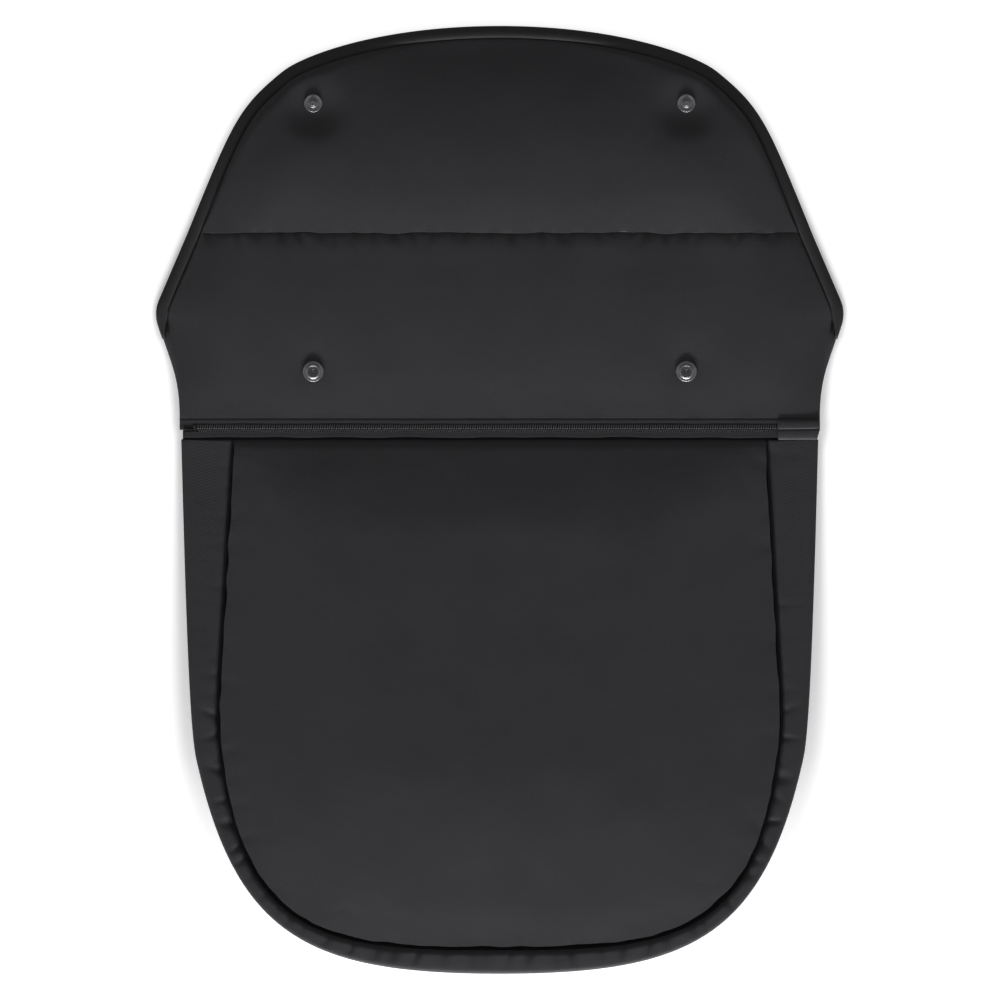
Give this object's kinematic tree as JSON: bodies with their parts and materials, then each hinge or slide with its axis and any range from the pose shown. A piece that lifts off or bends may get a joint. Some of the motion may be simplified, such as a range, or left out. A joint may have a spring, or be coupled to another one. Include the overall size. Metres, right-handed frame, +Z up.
{
  "type": "stroller leg cover",
  "caption": "Padded leg cover for a pushchair: boot with a side gusset and heel pocket, zipped apron, and a top flap that folds down onto press studs.",
  "frame": {"origin": "on the surface that the cover lies on, under the middle of its bounding box", "axes": "+X across the cover to the viewer's right, +Y along it from the toe to the top of the flap, +Z up out of its front"},
  "size_m": [0.4902, 0.6764, 0.0277],
  "materials": {
    "shell_fabric": "matte woven polyester with a faint sheen",
    "lining_fabric": "matte plain-woven lining",
    "wadding": "soft white fibre",
    "binding": "matte folded tape",
    "elastic": "ribbed elastic tape",
    "zip_tape": "herringbone woven tape",
    "zip_coil": "satin polyester coil",
    "gunmetal": "dark nickel plating, satin"
  },
  "bodies": {
    "boot": {"front_panel_shell": "shell_fabric", "front_panel_wadding": "wadding", "front_panel_lining": "lining_fabric", "gusset": "shell_fabric", "heel_panel": "lining_fabric", "heel_hem_elastic": "elastic", "rear_elastic_left": "elastic", "rear_elastic_right": "elastic"},
    "apron": {"apron_shell": "shell_fabric", "apron_wadding": "wadding", "apron_lining": "lining_fabric", "apron_binding_left": "binding", "apron_binding_right": "binding", "zip_facing_upper": "shell_fabric", "zip_facing_lower": "shell_fabric", "zip_tape_upper": "zip_tape", "zip_tape_lower": "zip_tape", "zip_teeth_upper": "zip_coil", "zip_teeth_lower": "zip_coil", "zip_bottom_stop": "gunmetal", "zip_top_stop_upper": "gunmetal", "zip_top_stop_lower": "gunmetal", "zip_garage": "shell_fabric", "socket_left": "gunmetal", "socket_right": "gunmetal", "socket_spring_left": "gunmetal", "socket_spring_right": "gunmetal", "socket_cap_left": "gunmetal", "socket_cap_right": "gunmetal"},
    "flap": {"flap_shell": "shell_fabric", "flap_wadding": "wadding", "flap_lining": "lining_fabric", "flap_binding": "binding", "stud_left": "gunmetal", "stud_right": "gunmetal", "stud_post_left": "gunmetal", "stud_post_right": "gunmetal"},
    "slider": {"zip_slider": "gunmetal"},
    "pull": {"zip_pull": "gunmetal"}
  },
  "joints": [
    {"name": "apron_fold", "type": "hinge", "parent": "boot", "child": "apron", "pos_m": [0, 0.0424, 0.006], "axis": [1, 0, 0], "range_deg": [0, 55]},
    {"name": "flap_fold", "type": "hinge", "parent": "apron", "child": "flap", "pos_m": [0, 0.1877, 0.011], "axis": [1, 0, 0], "range_deg": [0, 180]},
    {"name": "zip_slide", "type": "slide", "parent": "apron", "child": "slider", "axis": [-1, 0, 0], "range_m": [0, 0.418]},
    {"name": "pull_swing", "type": "hinge", "parent": "slider", "child": "pull", "pos_m": [0.2095, 0.0501, 0.0015], "axis": [0, -1, 0], "range_deg": [0, 180]}
  ]
}
